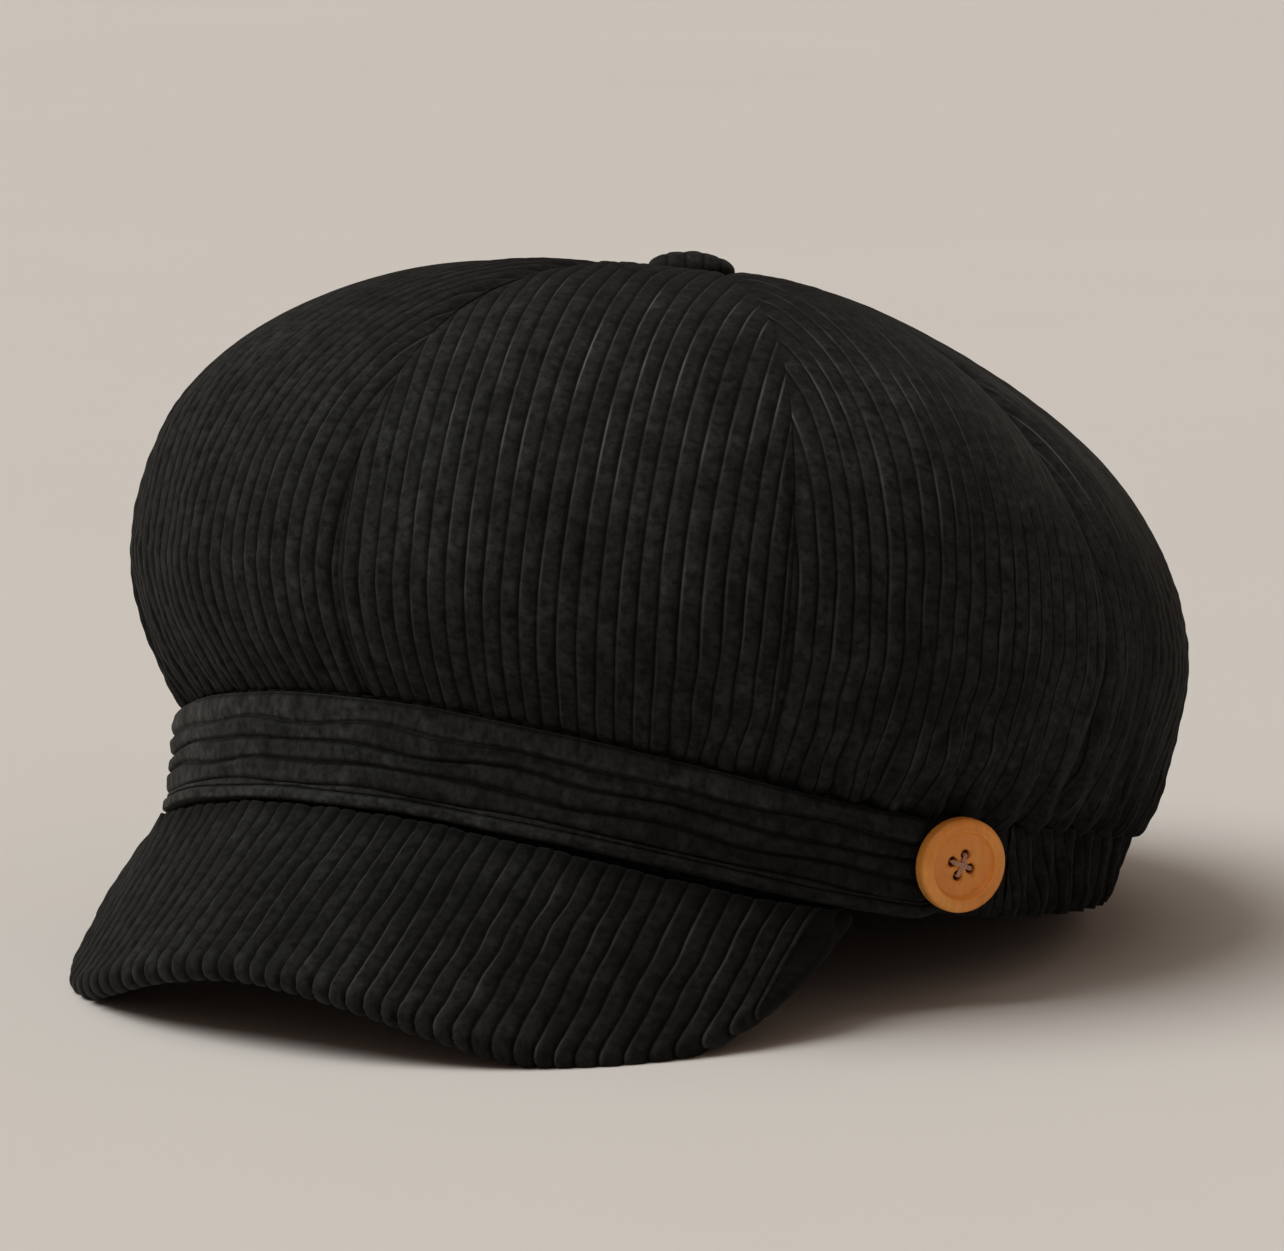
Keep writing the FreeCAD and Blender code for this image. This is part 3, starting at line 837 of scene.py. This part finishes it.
def visor_panel(name, node, rows_flat, start_turn, end_turn, relief):
    """Half of the visor's cloth: from the root out to the edge, then part of the way round it.
    start_turn is the way it faces before the edge: 90 degrees for the upper cloth, 270 for the lower."""
    upper = start_turn == 90.0
    columns = 521
    angle = np.linspace(-VISOR_END, VISOR_END, columns)
    rows = 12
    lines, outs = [], []
    radius = VISOR_THICK / 2.0
    inner = 1.0 - 0.035
    for share in np.linspace(0.0, inner, rows_flat):
        flat = np.full(columns, share)
        way = visor_up(angle, flat) * (1.0 if upper else -1.0)
        lines.append(visor_middle(angle, flat) + way * radius)
        outs.append(way)
    edge = np.full(columns, inner)
    up = visor_up(angle, edge)
    ahead = visor_edge(angle) - visor_sheet(angle, np.zeros(columns))
    ahead = ahead / np.linalg.norm(ahead, axis=-1, keepdims=True)
    for step in range(1, rows + 1):
        turn = math.radians(start_turn + (end_turn - start_turn) * step / rows)
        way = up * math.sin(turn) + ahead * math.cos(turn)
        lines.append(visor_middle(angle, edge) + way * radius)
        outs.append(way)
    sheet, out = np.stack(lines), np.stack(outs)
    flat = visor_wales(sheet)
    length = lengths(sheet, 0)
    wander = 0.35 * ripple(110, flat, length, 30.0, 40.0) + 0.18 * ripple(113, flat, length, 9.0, 14.0)
    phase = visor_phase(flat + wander)
    wale = wale_profile(phase)
    swell = 1.0 + 0.12 * beads(7, phase, length)
    pucker = 0.35 * np.exp(-((length / 6.0) ** 2)) * ripple(111, flat, length, 9.0, 12.0)
    rim = np.exp(-(((length - length[-1:]) / 7.0) ** 2))
    height = relief * (0.7 + 0.6 * rim) * wale * swell + pucker
    height = height + 0.25 * ripple(112, flat, length, 45.0, 30.0)
    points = sheet + out * height[..., None]
    # tone: lighter along the rolled front edge, painted shade at the root under the strap's lip, and
    # painted light that falls off towards the wearer's left, away from the key light. shine sets the
    # painted highlight on the wales.
    tone = 0.92 + 0.28 * rim
    tone = tone * (1.0 - 0.6 * np.exp(-((length / 3.0) ** 2)))
    tone = tone * (0.73 - 0.2 * np.tanh(sheet[..., 0] / 40.0))
    values = {"phase": phase, "along": length, "tone": tone, "shine": np.full_like(phase, 0.9)}
    if upper:
        points, out = points[::-1], out[::-1]
        values = {key: grid[::-1] for key, grid in values.items()}
    root = -1 if upper else 0
    points, values = with_skirt(points, values, out, VISOR_HEM, ((0, root),))
    made = grid_object(name, points, CORDUROY, **values)
    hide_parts(node)
    bend_with_visor(made)


def make_board():
    """Stiff board inside the visor, between its two cloths."""
    angle = np.linspace(-VISOR_END + 3.0, VISOR_END - 3.0, 160)
    loop = [(share, BOARD_HALF) for share in np.linspace(0.03, 0.94, 16)]
    loop += [(share, -BOARD_HALF) for share in np.linspace(0.94, 0.03, 16)]
    grid = np.zeros((len(angle), len(loop), 3))
    for column, (share, level) in enumerate(loop):
        flat = np.full_like(angle, share)
        grid[:, column] = visor_middle(angle, flat) + visor_up(angle, flat) * level
    made = grid_object("stiff_visor_board", grid, BOARD, ring_rows=True)
    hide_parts("visor_board")
    bend_with_visor(made)


def make_root_cloth():
    """Cloth between the band's lower edge and the visor's root."""
    span = VISOR_SPAN * 0.97
    angle, share = span_grid(14, 360, -span, span)

    def place(a, s):
        return ring(a, -0.3 + 0.9 * np.sin(math.pi * s), arch(a) + 1.5 - (ROOT_DROP + 4.5) * (1.0 - s))

    sheet = place(angle, share)
    normal = normals(place, angle, share, 0.2, 0.01)
    flat = visor_wales(sheet)
    phase = visor_phase(flat)
    points = sheet + normal * (0.4 * wale_profile(phase))[..., None]
    # tone 0.5 paints the shade in the gap between the strap's lip and the visor.
    values = {"phase": phase, "along": lengths(sheet, 0), "tone": np.full_like(phase, 0.5)}
    made = grid_object("visor_root_cloth", points, CORDUROY, **values)
    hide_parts("visor_seam_strip")
    bend_with_visor(made)


# ---------------------------------------------------------------- buttons

def lathe(outline, steps):
    """bmesh of an outline of (radius, height) points turned about Z."""
    built = bmesh.new()
    rings = []
    for radius, height in outline:
        ring_points = []
        if radius < 1e-6:
            ring_points = [built.verts.new((0.0, 0.0, height * MM))] * steps
        else:
            for i in range(steps):
                turn = 2.0 * math.pi * i / steps
                place = (radius * MM * math.cos(turn), radius * MM * math.sin(turn), height * MM)
                ring_points.append(built.verts.new(place))
        rings.append(ring_points)
    for low, high in zip(rings, rings[1:]):
        for i in range(steps):
            j = (i + 1) % steps
            corners = []
            for vertex in (low[i], low[j], high[j], high[i]):
                if vertex not in corners:
                    corners.append(vertex)
            built.faces.new(corners)
    bmesh.ops.recalc_face_normals(built, faces=built.faces)
    return built


def bmesh_object(name, built, material):
    mesh = bpy.data.meshes.new(name)
    built.to_mesh(mesh)
    built.free()
    made = bpy.data.objects.new(name, mesh)
    bpy.context.scene.collection.objects.link(made)
    mesh.materials.append(material)
    finish_mesh(mesh, {})
    return made


def round_corner(centre, radius, start, end, steps=6):
    """Points of an arc in an outline, between two angles in degrees."""
    turns = [math.radians(start + (end - start) * i / steps) for i in range(steps + 1)]
    return [(centre[0] + radius * math.cos(t), centre[1] + radius * math.sin(t)) for t in turns]


def button_mesh(name):
    """Turned four-hole button, face up: round rim, a step down into a shallow dish."""
    edge = BUTTON_RADIUS
    outline = [(0.0, 0.0)]
    outline += round_corner((edge - 0.7, 0.7), 0.7, -90.0, 0.0)
    outline += round_corner((edge - 1.0, 2.35), 1.0, 0.0, 100.0, 9)
    outline += round_corner((edge - 2.1, 3.0), 0.45, 60.0, 150.0, 5)
    outline += [(edge - 2.5, 2.8), (edge - 2.65, 2.5)]
    outline += round_corner((edge - 3.15, 2.65), 0.5, -30.0, -90.0, 4)
    outline += [(3.8, 2.08), (2.2, 2.0), (0.0, 1.98)]
    disc = bmesh_object(name, lathe(outline, 96), WOOD)
    drill = bmesh.new()
    half = HOLE_PITCH / 2.0
    for across, up in HOLES:
        x, y = across * half, up * half
        spot = Matrix.Translation((x * MM, y * MM, 1.0 * MM))
        bmesh.ops.create_cone(
            drill, cap_ends=True, segments=28, radius1=HOLE_RADIUS * MM, radius2=HOLE_RADIUS * MM,
            depth=6.0 * MM, matrix=spot,
        )
        mouth = Matrix.Translation((x * MM, y * MM, 2.15 * MM))
        bmesh.ops.create_cone(
            drill, cap_ends=True, segments=28, radius1=0.8 * HOLE_RADIUS * MM,
            radius2=1.45 * HOLE_RADIUS * MM, depth=0.6 * MM, matrix=mouth,
        )
    cutter = bmesh_object("drill", drill, WOOD)
    cut = disc.modifiers.new("holes", "BOOLEAN")
    cut.operation = "DIFFERENCE"
    cut.solver = "EXACT"
    cut.use_self = True
    cut.object = cutter
    bpy.context.view_layer.update()
    drilled = bpy.data.meshes.new_from_object(disc.evaluated_get(bpy.context.evaluated_depsgraph_get()))
    disc.modifiers.clear()
    disc.data = drilled
    bpy.data.objects.remove(cutter)
    return disc


def strand(start, end, lift, radius, turns, offset):
    """Centre points of one thread of a twisted strand arching from start to end."""
    points = []
    steps = 22
    ahead = np.array(end) - np.array(start)
    side = np.array((-ahead[1], ahead[0], 0.0)) / np.hypot(ahead[0], ahead[1])
    for i in range(steps + 1):
        t = i / steps
        spin = 2.0 * math.pi * turns * t + offset
        place = np.array(start) + ahead * t + np.array((0.0, 0.0, lift * math.sin(math.pi * t) ** 0.5))
        place = place + side * radius * math.cos(spin) + np.array((0.0, 0.0, radius * math.sin(spin)))
        points.append(place)
    return np.array(points)


def tube(built, line, radius, sides=8):
    """Adds a closed tube along a line of points, in millimetres, to a bmesh."""
    rings = []
    for i, place in enumerate(line):
        ahead = line[min(i + 1, len(line) - 1)] - line[max(i - 1, 0)]
        ahead = ahead / np.linalg.norm(ahead)
        side = np.cross(ahead, (0.3, 0.2, 1.0))
        side = side / np.linalg.norm(side)
        up = np.cross(side, ahead)
        turns = [2.0 * math.pi * k / sides for k in range(sides)]
        spots = [(place + radius * (math.cos(t) * side + math.sin(t) * up)) * MM for t in turns]
        rings.append([built.verts.new(spot) for spot in spots])
    for low, high in zip(rings, rings[1:]):
        for k in range(sides):
            n = (k + 1) % sides
            built.faces.new((low[k], low[n], high[n], high[k]))
    built.faces.new(rings[0][::-1])
    built.faces.new(rings[-1])


def thread_mesh(name):
    """Crossed sewing thread over the button's face, two twisted strands each way, and down the holes."""
    built = bmesh.new()
    half = HOLE_PITCH / 2.0
    for level, (x, y) in enumerate(((half, half), (half, -half))):
        for gap in (-0.2, 0.2):
            shift = np.array((-y, x, 0.0)) / half * gap * 0.7
            start = np.array((x, y, BUTTON_FACE - 0.1)) + shift
            end = np.array((-x, -y, BUTTON_FACE - 0.1)) + shift
            for k in range(2):
                line = strand(start, end, 0.35 + 0.22 * level, 0.11, 3.5, math.pi * k)
                tube(built, line, 0.13)
    for across, up in HOLES:
        line = np.array([(across * half, up * half, z) for z in np.linspace(-0.6, BUTTON_FACE, 6)])
        tube(built, line, 0.3)
    bmesh.ops.recalc_face_normals(built, faces=built.faces)
    return bmesh_object(name, built, THREAD)


def disc_pose(node):
    """Placement of a flat round CAD node: its middle, and its short axis pointing away from the cap."""
    points = node_points(node)
    low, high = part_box(node)
    middle = (np.array(low) + np.array(high)) / 2.0
    spread = points - points.mean(axis=0)
    axis = np.linalg.svd(spread, full_matrices=False)[2][2]
    outward = middle - np.array((0.0, middle[1], middle[2]))
    if axis @ outward < 0:
        axis = -axis
    back = ((points - middle) @ axis).min()
    z = Vector(axis)
    x = Vector((0.0, 0.0, 1.0)).cross(z).normalized()
    y = z.cross(x)
    turn = Matrix((x, y, z)).transposed().to_4x4()
    return Matrix.Translation(Vector(middle + axis * back)) @ turn


def make_buttons():
    """Both strap buttons and their thread; each is turned a little so that its holes sit askew."""
    for side, turn in BUTTON_TURN.items():
        pose = disc_pose("%s_button" % side) @ Matrix.Translation(BUTTON_SHIFT[side])
        pose = pose @ Matrix.Rotation(math.radians(turn), 4, "Z")
        for made, node, slot in (
            (button_mesh("%s_wood_button" % side), "%s_button" % side, "button"),
            (thread_mesh("%s_sewing" % side), "%s_button_thread" % side, "thread"),
        ):
            made.data.transform(pose)
            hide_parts(node)
            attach(made, "cap")


def make_top_button():
    """Domed button covered in the same corduroy, with straight wales across it."""
    points = to_band(node_points("top_button_cover"))
    low, high = points.min(axis=0), points.max(axis=0)
    middle = (low + high) / 2.0
    radius = (high[0] - low[0]) / 2.0
    base = low[2] + TOP_BUTTON_LIFT
    rise = high[2] - low[2]
    rows, columns = 40, 120
    climb = np.radians(np.linspace(-40.0, 89.5, rows))[:, None] * np.ones((1, columns))
    turn = np.linspace(0.0, 2.0 * math.pi, columns, endpoint=False)[None, :] * np.ones((rows, 1))
    flat = np.cos(climb)
    x = radius * flat * np.cos(turn)
    y = radius * flat * np.sin(turn)
    z = rise * np.sin(np.maximum(climb, 0.0)) ** 0.9 + 4.5 * np.minimum(climb, 0.0)
    phase = (x * 0.8 + y * 0.6) / (PITCH * 0.95) + 0.5
    out = np.stack((flat * np.cos(turn), flat * np.sin(turn), np.sin(climb)), axis=-1)
    sheet = np.stack((x + middle[0], y + middle[1], z + base), axis=-1)
    height = 0.3 * wale_profile(phase) * smooth((climb + 0.1) / 0.5) + 0.2 * ripple(120, x, y, 7.0, 7.0)
    values = {"phase": phase, "along": y * 0.8 - x * 0.6, "tone": np.full_like(phase, 1.0)}
    points = sheet + out * height[..., None]
    made = grid_object("covered_top_button", points, CORDUROY, ring_rows=True, **values)
    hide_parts("top_button_cover")
    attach(made, "cap")


# ---------------------------------------------------------------- hidden CAD pieces

def dress(node, material):
    """Gives a carried-over CAD node its material."""
    made = frame["nodes"][node]
    if not made.data.materials:
        made.data.materials.append(material)
    for slot in made.material_slots:
        slot.material = material


# ---------------------------------------------------------------- stage

def backdrop():
    """Pale level floor, wide enough to fill the picture behind the cap from every side."""
    built = bmesh.new()
    corners = ((-1, -1), (1, -1), (1, 1), (-1, 1))
    built.faces.new([built.verts.new((FLOOR_HALF * x, FLOOR_HALF * y, 0.0)) for x, y in corners])
    material, tree, shader = new_material("pale_sweep")
    tone = ramp(tree, noise(tree, object_coords(tree), 3.0), [
        (0.3, (0.675, 0.655, 0.61)), (0.7, (0.69, 0.67, 0.625)),
    ])
    tree.links.new(tone, shader.inputs["Base Color"])
    shader.inputs["Roughness"].default_value = 0.9
    made = bmesh_object("floor", built, material)


def way_to(azimuth, elevation):
    """Direction from the cap; azimuth 0 is the front and 90 the wearer's left."""
    turn, lift = math.radians(azimuth), math.radians(elevation)
    return Vector((math.sin(turn) * math.cos(lift), -math.cos(turn) * math.cos(lift), math.sin(lift)))


def soft_sun(name, azimuth, elevation, power, spread, colour):
    """Even light from one side; azimuth as for the camera, spread its apparent width in degrees."""
    lamp = bpy.data.lights.new(name, "SUN")
    lamp.energy = power
    lamp.angle = math.radians(spread)
    lamp.color = colour
    made = bpy.data.objects.new(name, lamp)
    bpy.context.scene.collection.objects.link(made)
    made.rotation_euler = way_to(azimuth, elevation).to_track_quat("Z", "Y").to_euler()


def make_stage():
    backdrop()
    soft_sun("key", CAMERA_AZIMUTH - 76.0, 57.0, 1.90, 42.0, (0.985, 1.0, 1.0))
    soft_sun("top", CAMERA_AZIMUTH - 90.0, 76.0, 0.5, 60.0, (1.0, 0.99, 0.97))
    world = bpy.data.worlds.new("room")
    bpy.context.scene.world = world
    world.use_nodes = True
    background = world.node_tree.nodes["Background"]
    background.inputs["Color"].default_value = (0.90, 0.66, 0.55, 1.0)
    background.inputs["Strength"].default_value = 0.25
    bpy.context.scene.view_settings.view_transform = "Standard"


def make_camera():
    away = way_to(CAMERA_AZIMUTH, CAMERA_ELEVATION)
    data = bpy.data.cameras.new("camera")
    data.lens = LENS
    data.clip_start = 0.05
    made = bpy.data.objects.new("camera", data)
    bpy.context.scene.collection.objects.link(made)
    made.location = Vector(CAMERA_TARGET) + away * CAMERA_DISTANCE
    made.rotation_euler = (-away).to_track_quat("-Z", "Y").to_euler()
    bpy.context.scene.camera = made


# ---------------------------------------------------------------- the cap

make_camera()
make_stage()
for gore in range(GORES):
    make_gore(gore)
    make_lining(gore)
make_top_button()

front_cloth = band_cloth(
    "front_band_cloth", -FRONT_BAND_HALF, FRONT_BAND_HALF, False, ["front_band_cover"], 560,
)
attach(front_cloth, "cap")
rear_cloth = band_cloth(
    "rear_band_cloth", FRONT_BAND_HALF + 0.05, 359.95 - FRONT_BAND_HALF, True,
    ["rear_band_cover", "side_gather_left", "side_gather_right"], 820,
)
stretch_band(rear_cloth)
sweatband = tape(
    "front_grosgrain", FRONT_TAPE, -3.1, 0.8, 0.5, 1.3, GROSGRAIN,
    ["front_sweatband"],
)
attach(sweatband, "cap")
facing = tape(
    "rear_grosgrain", REAR_TAPE, -3.3, 0.8, 0.5, 1.3, GROSGRAIN,
    ["rear_band_facing", "side_facing_left", "side_facing_right"],
)
stretch_band(facing)
elastic = tape(
    "elastic_tape", REAR_TAPE, -2.0, 1.1, 1.0, 1.0, ELASTIC,
    ["rear_elastic"],
)
stretch_band(elastic)

make_strap()
make_buttons()
visor_panel("visor_top_cloth", "visor_top_cover", 40, 90.0, -35.0, 0.85)
visor_panel("visor_under_cloth", "visor_under_cover", 24, 270.0, 325.0, 0.6)
make_board()
make_root_cloth()

for hidden, finish in (
    ("front_band_interlining", CANVAS), ("top_button_shell", METAL),
    ("top_button_back", METAL), ("top_button_shank", THREAD),
):
    dress(hidden, finish)
